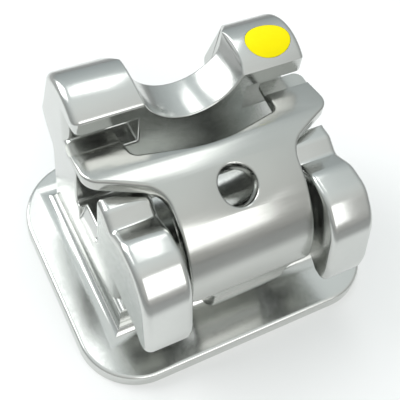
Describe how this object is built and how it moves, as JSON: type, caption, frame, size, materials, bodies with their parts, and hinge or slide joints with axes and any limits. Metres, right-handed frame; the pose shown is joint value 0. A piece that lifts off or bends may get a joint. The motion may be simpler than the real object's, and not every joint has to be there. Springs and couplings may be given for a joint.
{
  "type": "self-ligating orthodontic bracket",
  "caption": "Orthodontic bracket with a bonding pad, twin occlusal wings, gingival hooks, a colour mark and a sliding spring clip that closes the archwire slot.",
  "frame": {"origin": "middle of the bonding pad's tooth side", "axes": "+Z points away from the tooth (labial), +X runs along the archwire slot, +Y points to the biting edge (occlusal)"},
  "size_m": [0.0034, 0.003, 0.0024],
  "materials": {
    "polished_steel": "polished",
    "spring_alloy": "polished",
    "yellow_paint": "satin"
  },
  "bodies": {
    "body": {"bracket_body": "polished_steel", "colour_dot": "yellow_paint"},
    "clip": {"spring_clip": "spring_alloy"}
  },
  "joints": [
    {"name": "clip_slide", "type": "slide", "parent": "body", "child": "clip", "axis": [0, -1, 0], "range_m": [0, 0.00072]}
  ]
}
